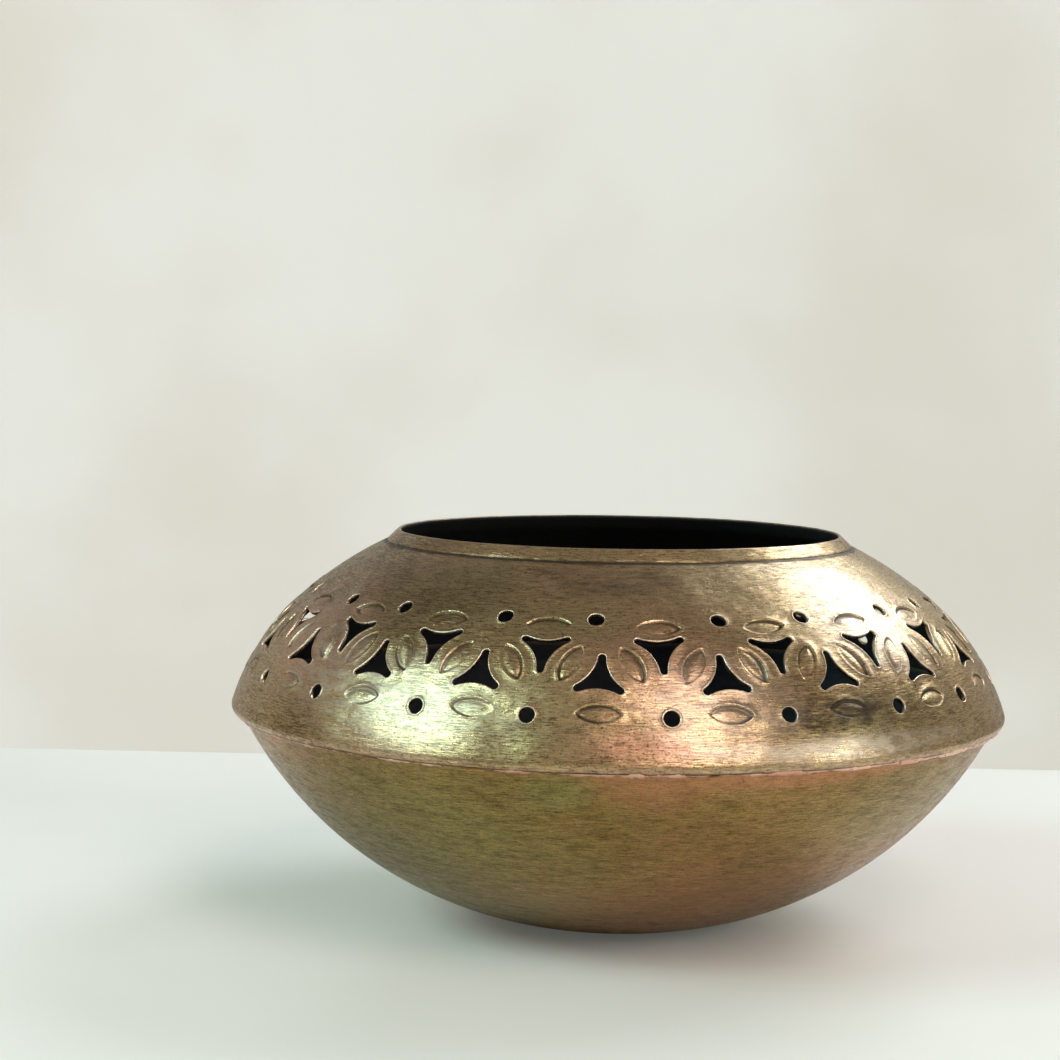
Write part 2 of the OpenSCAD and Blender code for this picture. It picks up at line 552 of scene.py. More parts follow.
@dataclass
class Vessel:
    """The sizes that the shells share, in millimetres."""

    belly_r: float = (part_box("upper_shell")[1].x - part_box("upper_shell")[0].x) / 2 / MM
    mouth_h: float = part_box("upper_shell")[1].z / MM
    belly_h: float = 41.8
    base_r: float = 17.0
    bowl_curve: float = 75.4
    sheet: float = 0.8
    belly_curve: float = 43.5
    shoulder_curve: float = 72.0
    shoulder_slope: float = 48.0
    edge_r: float = 1.6
    edge_lean: float = 17.0
    edge_turn: float = 50.0
    collar_w: float = 3.4
    collar_slope: float = 44.0
    rim_h: float = 4.2
    rim_gap: float = 0.1

    def __post_init__(self) -> None:
        """Works out the arcs of both shells."""
        edge_c = Vector((self.belly_r - self.edge_r, self.belly_h))
        lean = polar(self.edge_lean)
        slope = polar(self.shoulder_slope)
        belly_c = edge_c - (self.belly_curve - self.edge_r) * lean
        shoulder_c = belly_c - (self.shoulder_curve - self.belly_curve) * slope
        crease_h = self.mouth_h - self.collar_w * math.sin(math.radians(self.collar_slope))
        crease_turn = math.degrees(math.asin((crease_h - shoulder_c.y) / self.shoulder_curve))
        self.outside = Curve([
            Arc(edge_c, self.edge_r, -self.edge_turn, self.edge_lean),
            Arc(belly_c, self.belly_curve, self.edge_lean, self.shoulder_slope),
            Arc(shoulder_c, self.shoulder_curve, self.shoulder_slope, crease_turn),
        ])
        self.crease = self.outside.arcs[2].point(crease_turn)
        self.shoulder_end = sum(arc.length for arc in self.outside.arcs)
        bend_h = self.belly_h - self.edge_r * math.sin(math.radians(self.edge_turn))
        drop = bend_h + self.rim_h - belly_c.y
        inner = self.belly_curve - self.sheet
        rim_r = belly_c.x + math.sqrt(inner * inner - drop * drop) - self.rim_gap
        self.bend = Vector((rim_r, bend_h))
        foot = Vector((self.base_r, 0.0))
        chord = self.bend - foot
        reach = math.sqrt(self.bowl_curve ** 2 - (chord.length / 2) ** 2)
        bowl_c = (foot + self.bend) / 2 + reach * Vector((-chord.y, chord.x)) / chord.length
        start = math.degrees(math.atan2(-bowl_c.y, self.base_r - bowl_c.x))
        end = math.degrees(math.atan2(bend_h - bowl_c.y, rim_r - bowl_c.x))
        self.bowl = Curve([Arc(bowl_c, self.bowl_curve, start, end)])


def polar(degrees: float) -> Vector:
    """The unit vector of the half-section at an angle."""
    turn = math.radians(degrees)
    return Vector((math.cos(turn), math.sin(turn)))


def swung(section: Vector, turn: float) -> Vector:
    """A point of the half-section, turned about the axis and given in metres.

    Args:
        section: Radius and height in millimetres.
        turn: Degrees from -Y towards +X.

    Returns:
        The point in space.
    """
    angle = math.radians(turn)
    return Vector((section.x * math.sin(angle), -section.x * math.cos(angle), section.y)) * MM


def encloses(outline: Sequence[Vector], point: Vector) -> bool:
    """Tells whether a closed flat outline goes round a point.

    Args:
        outline: Its corners.
        point: The point.

    Returns:
        Whether the point is inside.
    """
    odd = False
    for p, q in zip(outline, (*outline[1:], outline[0])):
        if (p.y > point.y) != (q.y > point.y):
            odd ^= point.x < p.x + (q.x - p.x) * (point.y - p.y) / (q.y - p.y)
    return odd


# ---- Sheet metal meshes ----


class Mark(Enum):
    """What a mesh holds for each vertex, read by the finishes."""

    INSIDE = "inside"
    WORN = "worn"
    SUNK = "sunk"
    COPPER = "copper"
    GREEN = "green"
    PARAM = "param"


Section = list[tuple[Vector, dict[Mark, float]]]


@dataclass
class Sheet:
    """A mesh in the making, with its marks.

    Attributes:
        name: Its name.
        steps: Faces round the axis when it is spun.
        sectors: Copies of one sector that make the whole round.
        sector_gap: Distance within which the sectors' edges join, in metres.
        part_gap: Distance within which its parts' edges join, in metres.
    """

    name: str
    steps: int = 360
    sectors: int = 20
    sector_gap: float = 0.002 * MM
    part_gap: float = 0.001 * MM

    def __post_init__(self) -> None:
        """Starts an empty mesh."""
        self.mesh = bmesh.new()
        self.marks = {mark: self.mesh.verts.layers.float.new(mark.value) for mark in Mark}

    def spun(self, section: Section) -> None:
        """Spins an open half-section round the axis: first one sector, then its copies.

        Args:
            section: Points in millimetres, each with its marks.
        """
        sector = Sheet("sector")
        mesh = sector.mesh
        verts = []
        for point, marks in section:
            vert = mesh.verts.new(swung(point, 0.0))
            for mark, depth in marks.items():
                vert[sector.marks[mark]] = depth
            verts.append(vert)
        edges = [mesh.edges.new(pair) for pair in zip(verts, verts[1:])]
        whole = {"cent": (0, 0, 0), "axis": (0, 0, 1), "dvec": (0, 0, 0)}
        bmesh.ops.spin(
            mesh, geom=verts + edges, angle=math.tau / self.sectors,
            steps=self.steps // self.sectors, use_merge=False, use_duplicate=False, **whole,
        )
        bmesh.ops.spin(
            mesh, geom=[*mesh.verts, *mesh.edges, *mesh.faces], use_merge=False, use_duplicate=True,
            angle=math.tau * (self.sectors - 1) / self.sectors, steps=self.sectors - 1, **whole,
        )
        bmesh.ops.remove_doubles(mesh, verts=mesh.verts, dist=self.sector_gap)
        self.add(sector)

    def add(self, other: "Sheet") -> None:
        """Takes another sheet's geometry in.

        Args:
            other: The other sheet, which is freed.
        """
        data = bpy.data.meshes.new(other.name)
        other.mesh.to_mesh(data)
        self.mesh.from_mesh(data)
        bpy.data.meshes.remove(data)
        other.mesh.free()

    def open_edges(self, inside: bool) -> list[bmesh.types.BMEdge]:
        """Finds the edges that have one face.

        Args:
            inside: Whether to look on the inner surface.

        Returns:
            The edges.
        """
        layer = self.marks[Mark.INSIDE]
        return [
            edge for edge in self.mesh.edges
            if edge.is_boundary and all((vert[layer] > 0.5) == inside for vert in edge.verts)
        ]

    def fill_between(self, inside: bool, between: Sequence[Vector],
                     flattened: Callable[[Vector], Vector]) -> None:
        """Fills the sheet between its open loops on one surface.

        The sheet is laid flat without distorting its angles and meshed there by Delaunay's rule, as
        an operator's fill leaves slivers that show in the polish.

        Args:
            inside: Whether it is the inner surface.
            between: Places between the loops, in metres, that the mesh also passes through.
            flattened: Gives the flat place of a place in metres.
        """
        edges = self.open_edges(inside)
        verts = list({vert: None for edge in edges for vert in edge.verts})
        number = {vert: i for i, vert in enumerate(verts)}
        sides = [(number[edge.verts[0]], number[edge.verts[1]]) for edge in edges]
        ends = len(verts)
        for place in between:
            vert = self.mesh.verts.new(place)
            vert[self.marks[Mark.INSIDE]] = float(inside)
            verts.append(vert)
        flat = [flattened(vert.co) for vert in verts]
        loops = self.loops_of(sides)
        outer = max(set(loops.values()), key=lambda loop: max(flat[i].length for i in loop))
        _, _, faces, sources, _, _ = delaunay_2d_cdt(flat, sides, [], 0, FLAT_GAP)
        for face in faces:
            corners = [sources[i][0] for i in face]
            if all(i < ends for i in corners):
                loop = loops[corners[0]]
                middle = sum((flat[i] for i in corners), Vector((0.0, 0.0))) / 3
                if loop is not outer and all(loops[i] is loop for i in corners):
                    if encloses([flat[i] for i in loop], middle):
                        continue
            self.mesh.faces.new([verts[i] for i in corners])

    @staticmethod
    def loops_of(sides: Sequence[tuple[int, int]]) -> dict[int, tuple[int, ...]]:
        """Walks round the closed loops that a set of sides makes.

        Args:
            sides: The two numbered corners of each side.

        Returns:
            The loop that each corner belongs to.
        """
        beside: dict[int, list[int]] = {}
        for i, j in sides:
            beside.setdefault(i, []).append(j)
            beside.setdefault(j, []).append(i)
        loops: dict[int, tuple[int, ...]] = {}
        for first in beside:
            if first not in loops:
                walk, step = [first], beside[first][0]
                while step != first:
                    walk.append(step)
                    step = next(i for i in beside[step] if i != walk[-2])
                loop = tuple(walk)
                loops.update({i: loop for i in loop})
        return loops

    def finished(self, material: bpy.types.Material) -> bpy.types.Object:
        """Turns the sheet into an object.

        Args:
            material: Its finish.

        Returns:
            The object.
        """
        bmesh.ops.remove_doubles(self.mesh, verts=self.mesh.verts, dist=self.part_gap)
        bmesh.ops.recalc_face_normals(self.mesh, faces=self.mesh.faces)
        for face in self.mesh.faces:
            face.smooth = True
        self.mesh.verts.layers.float.remove(self.mesh.verts.layers.float[Mark.PARAM.value])
        data = bpy.data.meshes.new(self.name)
        self.mesh.to_mesh(data)
        self.mesh.free()
        made = bpy.data.objects.new(self.name, data)
        bpy.context.scene.collection.objects.link(made)
        data.materials.append(material)
        return made


def marked(points: Sequence[Vector], **marks: float) -> Section:
    """Gives each point the same marks, named in small letters."""
    return [(point, {Mark(name): depth for name, depth in marks.items()}) for point in points]


# ---- Handwork ----


@dataclass(frozen=True)
class Dent:
    """A shallow dent.

    Attributes:
        turn: Degrees about the axis from -Y towards +X.
        height: Its height in millimetres.
        radius: How wide it is from its middle, in millimetres.
        depth: How deep it is, in millimetres.
    """

    turn: float
    height: float
    radius: float
    depth: float


@dataclass(frozen=True)
class Handwork:
    """The unevenness of spun and beaten sheet, in metres.

    Attributes:
        dents: Its dents.
        waves: The height of each wave, and how many there are to the metre.
        margin: How far the sheet is set in, so that no wave leaves the shell's box.
        foot: The height under which the waves fade, so that the base stays flat.
        hub: The distance from the axis within which nothing moves.
        rise: How much the sheet moves up for each part that it moves out.
        dent_edge: How many radii of a dent it reaches.
        dent_fading: How fast a dent fades from its middle.
    """

    dents: tuple[Dent, ...]
    waves: tuple[tuple[float, float], ...] = (
        (0.14 * MM, 26.0), (0.10 * MM, 72.0), (0.035 * MM, 180.0)
    )
    margin: float = 0.16 * MM
    foot: float = 4 * MM
    hub: float = 5 * MM
    rise: float = 0.5
    dent_edge: float = 2.5
    dent_fading: float = 1.5

    def lift(self, place: Vector, seed: float) -> float:
        """How far the sheet stands proud at a place.

        Args:
            place: The point in metres.
            seed: Shifts the pattern from one shell to the next.

        Returns:
            The distance in metres.
        """
        shift = Vector((seed, -seed, seed * 0.5))
        lift = sum(height * noise.noise(place * scale + shift) for height, scale in self.waves)
        for dent in self.dents:
            middle = swung(Vector((Vector((place.x, place.y)).length / MM, dent.height)), dent.turn)
            share = (place - middle).length / (dent.radius * MM)
            if share < self.dent_edge:
                lift -= dent.depth * MM * math.exp(-share * share * self.dent_fading)
        return lift

    def work(self, sheet: Sheet, seed: float) -> None:
        """Moves every vertex of a sheet in or out a little, about square to the shell.

        Args:
            sheet: The sheet.
            seed: Shifts the pattern from one shell to the next.
        """
        for vert in sheet.mesh.verts:
            radial = Vector((vert.co.x, vert.co.y, 0.0))
            if radial.length > self.hub:
                out = (radial.normalized() + Vector((0, 0, self.rise))).normalized()
                free = min(1.0, max(0.0, vert.co.z / self.foot))
                vert.co += out * (self.lift(vert.co, seed) - self.margin) * free


@dataclass(frozen=True)
class Stain:
    """A soft patch of colour on a shell.

    Attributes:
        mark: What it deepens.
        turn: Degrees about the axis from -Y towards +X.
        height: Its height in millimetres.
        width: Degrees from its middle to its edge.
        tall: Millimetres from its middle to its edge.
        depth: How strong it is in its middle.
    """

    mark: Mark
    turn: float
    height: float
    width: float
    tall: float
    depth: float

    def at(self, turn: float, height: float) -> float:
        """Measures how strong it is at a place.

        Args:
            turn: Degrees about the axis from -Y towards +X.
            height: The height in millimetres.

        Returns:
            The strength, from 0 to its depth.
        """
        off = (turn - self.turn + 180) % 360 - 180
        share = (off / self.width) ** 2 + ((height - self.height) / self.tall) ** 2
        return self.depth * max(0.0, 1 - share) if share < 1 else 0.0


@dataclass(frozen=True)
class StainsAndLight:
    """The stains of one shell, with painted highlights and painted shade among them."""

    stains: tuple[Stain, ...]

    @classmethod
    def of(cls, spots: dict[Mark, Sequence[tuple[float, ...]]]) -> "StainsAndLight":
        """Makes it from rows of turn, height, width, tall and depth for each mark."""
        return cls(tuple(Stain(mark, *row) for mark, rows in spots.items() for row in rows))

    def lay(self, sheet: Sheet) -> None:
        """Adds the stains to a sheet's marks.

        Args:
            sheet: The sheet.
        """
        for vert in sheet.mesh.verts:
            turn = math.degrees(math.atan2(vert.co.x, -vert.co.y))
            height = vert.co.z / MM
            for stain in self.stains:
                layer = sheet.marks[stain.mark]
                vert[layer] = min(1.0, vert[layer] + stain.at(turn, height))


@dataclass(frozen=True)
class Dress:
    """What a shell is worked and coloured with.

    Attributes:
        handwork: Its unevenness.
        seed: Shifts the unevenness from one shell to the next.
        stains_and_light: Its stains, painted highlights and painted shade.
        material: Its finish.
    """

    handwork: Handwork
    seed: float
    stains_and_light: StainsAndLight
    material: bpy.types.Material

    def finished(self, sheet: Sheet) -> bpy.types.Object:
        """Stains a sheet, works it by hand and turns it into an object.

        Args:
            sheet: The sheet, which is freed.

        Returns:
            The object.
        """
        self.stains_and_light.lay(sheet)
        self.handwork.work(sheet, self.seed)
        return sheet.finished(self.material)


# ---- Flower band ----


@dataclass(frozen=True)
class Ring:
    """One loop of a punched or stamped feature.

    Attributes:
        out: Distance outside the feature's outline, in millimetres.
        lift: Height over the sheet, in millimetres.
        inside: Whether it lies on the inner surface.
        worn: How bright its edge is, as rubbed wear and painted highlight.
        sunk: How much dark tarnish and painted shade it holds.
    """

    out: float
    lift: float
    inside: float = 0.0
    worn: float = 0.0
    sunk: float = 0.0


@dataclass(frozen=True)
class Tool:
    """A punch or a stamp.

    Attributes:
        outline: Point of the outline at a share of the way round and a distance outside it.
        rings: Its loops, from the field inwards.
        count: Vertices on each loop.
        stamps: Whether it leaves the sheet whole, so that the last loop is closed.
    """

    outline: Callable[[float, float], Vector]
    rings: tuple[Ring, ...]
    count: int
    stamps: bool = False


@dataclass(frozen=True)
class Feature:
    """A hole or petal on the band.

    Attributes:
        turn: Degrees about the axis from -Y towards +X.
        way: Distance up the shell's curve, in millimetres.
        spin: Degrees that it is turned in the sheet.
        tool: What it was struck with.
        strength: How hard it was struck.
        heavy: Degrees round its outline to where it was struck hardest.
    """

    turn: float
    way: float
    spin: float
    tool: Tool
    strength: float
    heavy: float


@dataclass
class FlowerBand:
    """Two rows of flowers: pierced triangles and round holes between stamped petals."""

    vessel: Vessel
    flowers: int = 20
    band_turn: float = -2.2
    pair_lean: float = 1.3
    upper_hole_h: float = 64.6
    upper_tri_h: float = 60.0
    lower_tri_h: float = 55.8
    lower_hole_h: float = 49.8
    hole_r: float = 1.4
    tri_side: float = 7.3
    tip_r: float = 0.65
    tip_part: float = 0.38
    petal_curve: float = 7.4
    petal_half: float = 4.0
    petal_width: float = 1.8
    petal_point: float = 1.45
    tip_growth: float = 1.35
    upper_petal_h: float = 63.6
    lower_petal_h: float = 50.4
    side_petal_h: float = 57.9
    side_petal_slope: float = 62.0
    scatter: float = 0.18
    scatter_spin: float = 3.5
    strength: float = 1.2
    scatter_strength: float = 0.25
    heavy: float = 90.0
    scatter_heavy: float = 70.0
    seed: int = 11
    reach: float = 7.0
    clearance: float = 0.35
    clear_points: int = 24
    fading: float = 0.42

    def __post_init__(self) -> None:
        """Works out the loops that each kind of feature shares."""
        sheet = self.vessel.sheet
        # The punched lips are whitened, as rubbed metal with painted highlight; the cut face
        # darkens towards the inner surface.
        self.hole_rings = (
            Ring(0.56, 0.0), Ring(0.40, 0.03), Ring(0.26, 0.07), Ring(0.14, 0.08, worn=0.3),
            Ring(0.05, 0.03, worn=0.65), Ring(0.0, -0.08, worn=0.6),
            Ring(0.0, -sheet * 0.5, worn=0.35), Ring(0.0, 0.08 - sheet, worn=0.1, sunk=0.4),
            Ring(0.12, -sheet, inside=1.0),
        )
        self.petal_rings = (
            Ring(0.42, 0.0), Ring(0.27, 0.05), Ring(0.12, 0.08), Ring(0.0, 0.02),
            Ring(-0.14, -0.14, sunk=0.3), Ring(-0.29, -0.28, sunk=0.85),
            Ring(-0.46, -0.32, sunk=0.55), Ring(-0.72, -0.25, sunk=0.1), Ring(-1.02, -0.16),
            Ring(-1.32, -0.10),
        )
        self.struck = list(self.features())
        self.kept_clear = [
            [[self.flat(feature, i / self.clear_points, ring.out + self.clearance)
              for i in range(self.clear_points)]
             for ring in (feature.tool.rings[0], feature.tool.rings[-1])]
            for feature in self.struck
        ]

    def round_outline(self, share: float, out: float) -> Vector:
        """A round hole's outline."""
        return polar(360 * share) * (self.hole_r + out)

    def triangle_outline(self, share: float, out: float) -> Vector:
        """A petal-edged triangle's outline, one tip towards +Y.

        Args:
            share: Share of the way round.
            out: Distance outside the outline.

        Returns:
            The point in millimetres.
        """
        reach = self.tri_side / math.sqrt(3)
        bow = math.sqrt((self.petal_curve + self.tip_r) ** 2 - (self.tri_side / 2) ** 2) + reach / 2
        to_bow = math.degrees(math.atan2(bow / 2 - reach, -bow * math.cos(math.radians(30))))
        corner, rest = divmod(share * 3, 1.0)
        turn = 120 * corner
        if rest < self.tip_part:
            angle = 180 - to_bow + (2 * to_bow - 180) * rest / self.tip_part
            return polar(90 + turn) * reach + polar(angle + turn) * (self.tip_r + out)
        along = (rest - self.tip_part) / (1 - self.tip_part)
        angle = to_bow - 180 + (300 - 2 * to_bow) * along
        return polar(150 + turn) * bow + polar(angle + turn) * (self.petal_curve - out)

    def petal_outline(self, share: float, out: float) -> Vector:
        """A petal's outline, its tips along X.

        Args:
            share: Share of the way round.
            out: Distance outside the outline.

        Returns:
            The point in millimetres.
        """
        angle = math.tau * share
        side = math.copysign(abs(math.sin(angle)) ** self.petal_point, math.sin(angle))
        half = self.petal_half + self.tip_growth * out
        return Vector((half * math.cos(angle), (self.petal_width + out) * side))

    def features(self) -> Iterator[Feature]:
        """All holes and petals of the band.

        Yields:
            The features.
        """
        way = self.vessel.outside.way_to_height
        pitch = 360 / self.flowers
        chance = random.Random(self.seed)

        hole = Tool(self.round_outline, self.hole_rings, 28)
        triangle = Tool(self.triangle_outline, self.hole_rings, 54)
        petal = Tool(self.petal_outline, self.petal_rings, 40, stamps=True)
        for i in range(self.flowers):
            lean = self.pair_lean if i % 2 == 0 else -self.pair_lean
            here = self.band_turn + pitch * i
            between = here + pitch / 2
            for turn, height, spin, tool in (
                (here - lean, self.upper_hole_h, 0, hole),
                (between + lean / 2, self.lower_hole_h, 0, hole),
                (here, self.lower_tri_h, 0, triangle),
                (between, self.upper_tri_h, 180, triangle),
                (between, self.upper_petal_h, 0, petal),
                (here, self.lower_petal_h, 0, petal),
                (here + pitch / 4, self.side_petal_h, -self.side_petal_slope, petal),
                (here - pitch / 4, self.side_petal_h, self.side_petal_slope, petal),
            ):
                off = [chance.uniform(-1, 1) for _ in range(5)]
                yield Feature(
                    turn + off[0] * self.scatter, way(height) + off[1] * self.scatter,
                    spin + off[2] * self.scatter_spin, tool,
                    strength=self.strength + self.scatter_strength * off[3],
                    heavy=self.heavy + self.scatter_heavy * off[4],
                )

    @staticmethod
    def flat(feature: Feature, share: float, out: float) -> Vector:
        """A point of a feature's outline in the flat sheet, from the feature's middle.

        Args:
            feature: The feature.
            share: Share of the way round its outline.
            out: Distance outside the outline.

        Returns:
            The point in millimetres.
        """
        point = feature.tool.outline(share, out)
        point.rotate(Matrix.Rotation(math.radians(feature.spin), 2))
        return point

    def place(self, feature: Feature, share: float, ring: Ring) -> Vector:
        """Where a vertex of a feature lies.

        Args:
            feature: The feature.
            share: Share of the way round its outline.
            ring: The loop.

        Returns:
            The point in metres.
        """
        flat = self.flat(feature, share, ring.out)
        point, normal = self.vessel.outside.at(feature.way + flat.y)
        turn = feature.turn + math.degrees(flat.x / point.x)
        return swung(point + normal * ring.lift * self.force(feature, share), turn)

    def force(self, feature: Feature, share: float) -> float:
        """Tells how hard the sheet was struck.

        Args:
            feature: The feature.
            share: Share of the way round its outline.

        Returns:
            The force, 1 for a stamp's plain depth.
        """
        if not feature.tool.stamps:
            return 1.0
        swing = math.cos(math.tau * share - math.radians(feature.heavy))
        return feature.strength * (1 - self.fading + self.fading * swing)

    def feature_sheet(self, feature: Feature) -> Sheet:
        """Makes one feature by extruding its outline loop by loop.

        Args:
            feature: The feature.

        Returns:
            Its mesh, open at its first loop.
        """
        sheet = Sheet("feature")
        mesh, marks = sheet.mesh, sheet.marks
        bmesh.ops.create_circle(mesh, cap_ends=False, segments=feature.tool.count, radius=1.0)
        for i, vert in enumerate(mesh.verts):
            vert[marks[Mark.PARAM]] = i / feature.tool.count
        loop = list(mesh.edges)
        verts = list(mesh.verts)
        for k, ring in enumerate(feature.tool.rings):
            if k:
                grown = bmesh.ops.extrude_edge_only(mesh, edges=loop)["geom"]
                loop = [e for e in grown if isinstance(e, bmesh.types.BMEdge)]
                verts = [v for v in grown if isinstance(v, bmesh.types.BMVert)]
            for vert in verts:
                vert.co = self.place(feature, vert[marks[Mark.PARAM]], ring)
                vert[marks[Mark.INSIDE]] = ring.inside
                vert[marks[Mark.WORN]] = ring.worn
                vert[marks[Mark.SUNK]] = ring.sunk * self.force(feature, vert[marks[Mark.PARAM]])
        if feature.tool.stamps:
            bmesh.ops.triangle_fill(mesh, use_beauty=True, edges=loop, normal=(0, 0, 1))
        return sheet

    def covers(self, turn: float, way: float, inside: bool) -> bool:
        """Whether a place on the sheet is under a feature or close to its first loop.

        Args:
            turn: Degrees about the axis from -Y towards +X.
            way: Distance up the shell's curve, in millimetres.
            inside: Whether it is on the inner surface, where petals leave no mark.

        Returns:
            Whether the sheet there is the feature's own.
        """
        radius = self.vessel.outside.at(way)[0].x
        for feature, outlines in zip(self.struck, self.kept_clear):
            if abs(way - feature.way) < self.reach and not (inside and feature.tool.stamps):
                across = math.radians((turn - feature.turn + 180) % 360 - 180) * radius
                if abs(across) < self.reach:
                    if encloses(outlines[inside], Vector((across, way - feature.way))):
                        return True
        return False

    def strike(self, sheet: Sheet) -> None:
        """Adds every feature to the shell's sheet."""
        for feature in self.struck:
            sheet.add(self.feature_sheet(feature))


# ---- Pieces ----


@dataclass
class UpperShell:
    """The pierced upper shell: rolled edge, belly, shoulder, crease and collar."""

    vessel: Vessel
    band_low: float = 47.0
    band_high: float = 67.6
    edge_rows: int = 10
    rows: float = 1.0
    lip_rows: int = 7
    collar_rows: tuple[float, ...] = (0.05, 0.12, 0.22, 0.4, 0.6, 0.75, 0.86)
    flat_rows: int = 400
    apart: float = 1.1
    apart_inside: float = 1.8

    def way_rows(self, start: float, end: float) -> list[float]:
        """Even ways from start to end, about one row's width apart."""
        count = max(1, round(abs(end - start) / self.rows))
        return [start + (end - start) * i / count for i in range(count + 1)]

    def surface(self, way: float, inside: bool) -> Vector:
        """A point of the outer or the inner surface of the sheet."""
        point, normal = self.vessel.outside.at(way)
        return point - normal * (self.vessel.sheet if inside else 0.0)

    def lower_section(self) -> Section:
        """Draws the sheet below the band.

        Returns:
            The half-section from the band's outside, round the rolled edge, to its inside.
        """
        start = self.vessel.outside.way_to_height(self.band_low)
        edge = self.vessel.outside.arcs[0].length
        plain = self.way_rows(start, edge)[:-1]
        curl = [edge * (1 - i / self.edge_rows) for i in range(self.edge_rows + 1)]
        outer = marked([self.surface(way, False) for way in plain])
        for i, way in enumerate(curl):
            share = i / self.edge_rows
            # Along the roll the brass is whitened a little at its middle, a painted highlight with
            # rubbed wear, and darkened at its tucked-in end, painted shade under the roll; the
            # copper share is braze flush.
            outer += marked([self.surface(way, False)], copper=0.6 * share,
                            worn=0.06 * math.sin(math.pi * share), sunk=max(0.0, share * 2 - 1.3))
        inner = [self.surface(way, True) for way in reversed(plain + curl)]
        return outer + marked(inner, inside=1.0)

    def upper_section(self) -> Section:
        """Draws the sheet above the band.

        Returns:
            The half-section from the band's outside, over the collar's lip, to its inside.
        """
        v = self.vessel
        ways = self.way_rows(v.outside.way_to_height(self.band_high), v.shoulder_end)
        slope = math.radians(v.collar_slope)
        rise = Vector((-math.cos(slope), math.sin(slope)))
        face = Vector((math.sin(slope), math.cos(slope)))
        lip_c = v.crease + rise * (v.collar_w - v.sheet / 2) - face * v.sheet / 2
        collar = [v.crease + rise * (v.collar_w * share) for share in self.collar_rows]
        section = marked([self.surface(way, False) for way in ways[:-2]])
        low, last = self.surface(ways[-2], False), self.surface(v.shoulder_end - 0.3, False)
        # These darken the sheet into and out of the crease under the collar.
        for point, sunk in (
            (low, 0.15), (last - face * 0.04, 0.6), (v.crease - face * 0.12, 0.75),
            (collar[0] - face * 0.06, 0.5), (collar[1], 0.2),
        ):
            section += marked([point], sunk=sunk)
        section += marked(collar[2:])
        # The collar's lip is whitened a little: rubbed wear with painted highlight.
        for i in range(self.lip_rows + 1):
            angle = 90 - v.collar_slope + 180 * i / self.lip_rows
            section += marked([lip_c + polar(angle) * v.sheet / 2],
                              inside=max(0.0, (angle - 110) / 50), worn=0.15)
        section += marked([point - face * v.sheet for point in reversed(collar[2:])], inside=1.0)
        inner = [self.surface(way, True) for way in reversed(ways)]
        return section + marked(inner, inside=1.0)

    def between(self, band: FlowerBand, inside: bool) -> list[Vector]:
        """Places in staggered rows on the band's sheet, clear of its features.

        Args:
            band: The flower band.
            inside: Whether they lie on the inner surface.

        Returns:
            The places in metres.
        """
        up = self.vessel.outside.way_to_height
        ways = self.way_rows(up(self.band_low), up(self.band_high))[1:-1]
        apart = self.rows * (self.apart_inside if inside else self.apart)
        places = []
        for row, way in enumerate(ways[::2] if inside else ways):
            point = self.surface(way, inside)
            count = round(math.tau * point.x / apart)
            for i in range(count):
                turn = 360 * (i + row % 2 / 2) / count
                if not band.covers(turn, way, inside):
                    places.append(swung(point, turn))
        return places

    def flattened(self, place: Vector) -> Vector:
        """Where a place on the band's sheet comes to lie when the sheet is laid flat.

        Args:
            place: The place in metres.

        Returns:
            The flat place, without scale: every small piece of the sheet keeps its angles.
        """
        radial = Vector((place.x, place.y))
        way = self.vessel.outside.way_of(Vector((radial.length, place.z)) / MM)
        share = way / self.vessel.shoulder_end * (len(self.shrunk) - 1)
        low = min(int(share), len(self.shrunk) - 2)
        return radial.normalized() * self.shrunk[low].lerp(self.shrunk[low + 1], share - low).x

    def __post_init__(self) -> None:
        """Works out how far from the middle each part of the flattened sheet lies."""
        step = self.vessel.shoulder_end / self.flat_rows
        shrunk = [1.0]
        for i in range(self.flat_rows):
            radius = self.vessel.outside.at((i + 0.5) * step)[0].x
            shrunk.append(shrunk[-1] * math.exp(-step / radius))
        self.shrunk = [Vector((share, 0.0)) for share in shrunk]

    def build(self, band: FlowerBand, dress: Dress) -> bpy.types.Object:
        """Makes the shell.

        Args:
            band: Its flower band.
            dress: What it is worked and coloured with.

        Returns:
            The piece.
        """
        sheet = Sheet("pierced_upper_shell")
        sheet.spun(self.lower_section())
        sheet.spun(self.upper_section())
        band.strike(sheet)
        for inside in (False, True):
            sheet.fill_between(inside, self.between(band, inside), self.flattened)
        piece = dress.finished(sheet)
        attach(piece, "vessel")
        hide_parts("upper_shell")
        return piece


